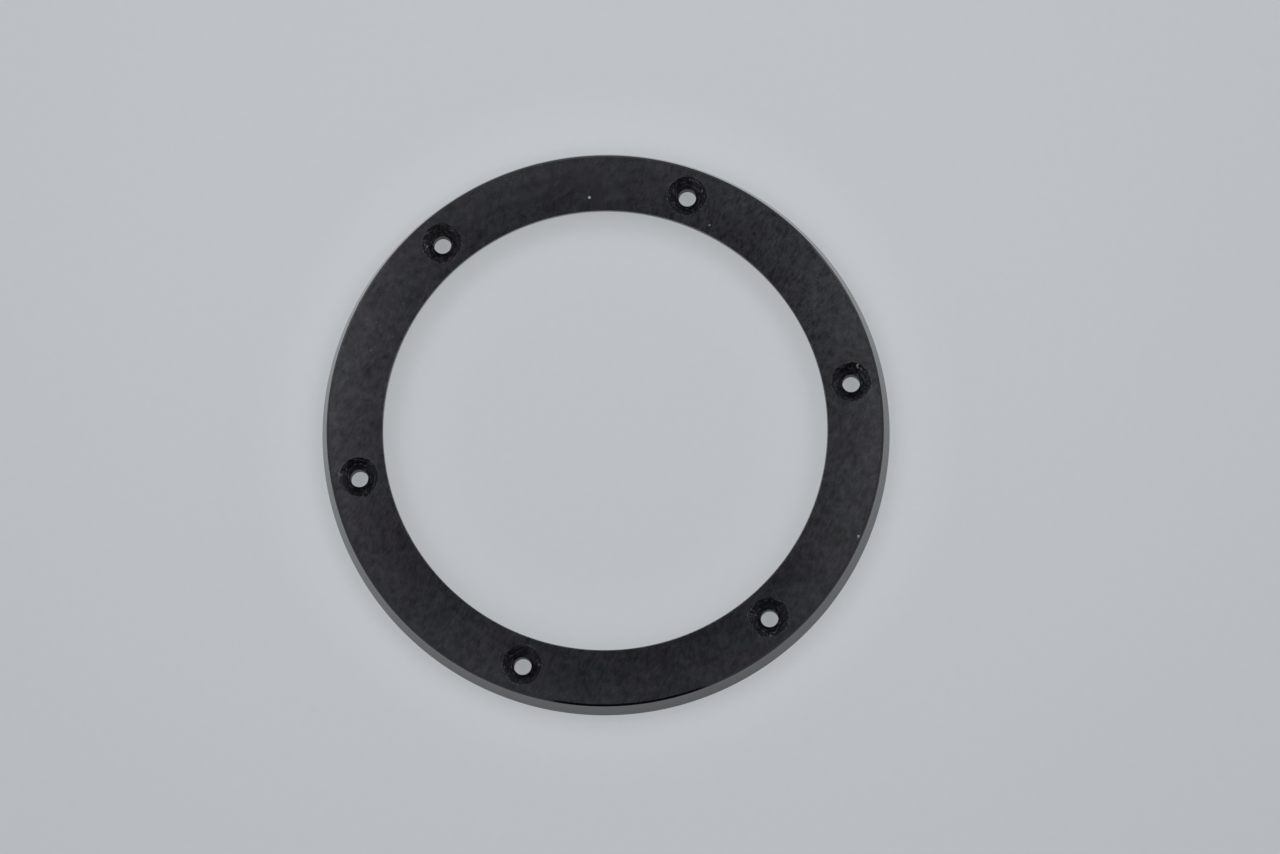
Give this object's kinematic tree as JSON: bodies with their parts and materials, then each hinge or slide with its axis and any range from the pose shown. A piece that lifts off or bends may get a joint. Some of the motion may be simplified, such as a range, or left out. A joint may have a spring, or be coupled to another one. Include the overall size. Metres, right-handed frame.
{
  "type": "watch bezel",
  "caption": "Flat black ceramic watch bezel ring with a leaning polished outer wall, countersunk screw holes round its face and a crystal seat behind its opening.",
  "frame": {"origin": "centre of the ring on its flat back face, which is the face it rests on", "axes": "+Z along the ring's axis, out of the front face; +X through the centre of a screw hole; +Y between two screw holes, where 12 o'clock would be"},
  "size_m": [0.042, 0.042, 0.002],
  "materials": {
    "black_ceramic": "satin front face, polished outer wall"
  },
  "bodies": {
    "root": {"bezel_ring": "black_ceramic"}
  },
  "joints": []
}
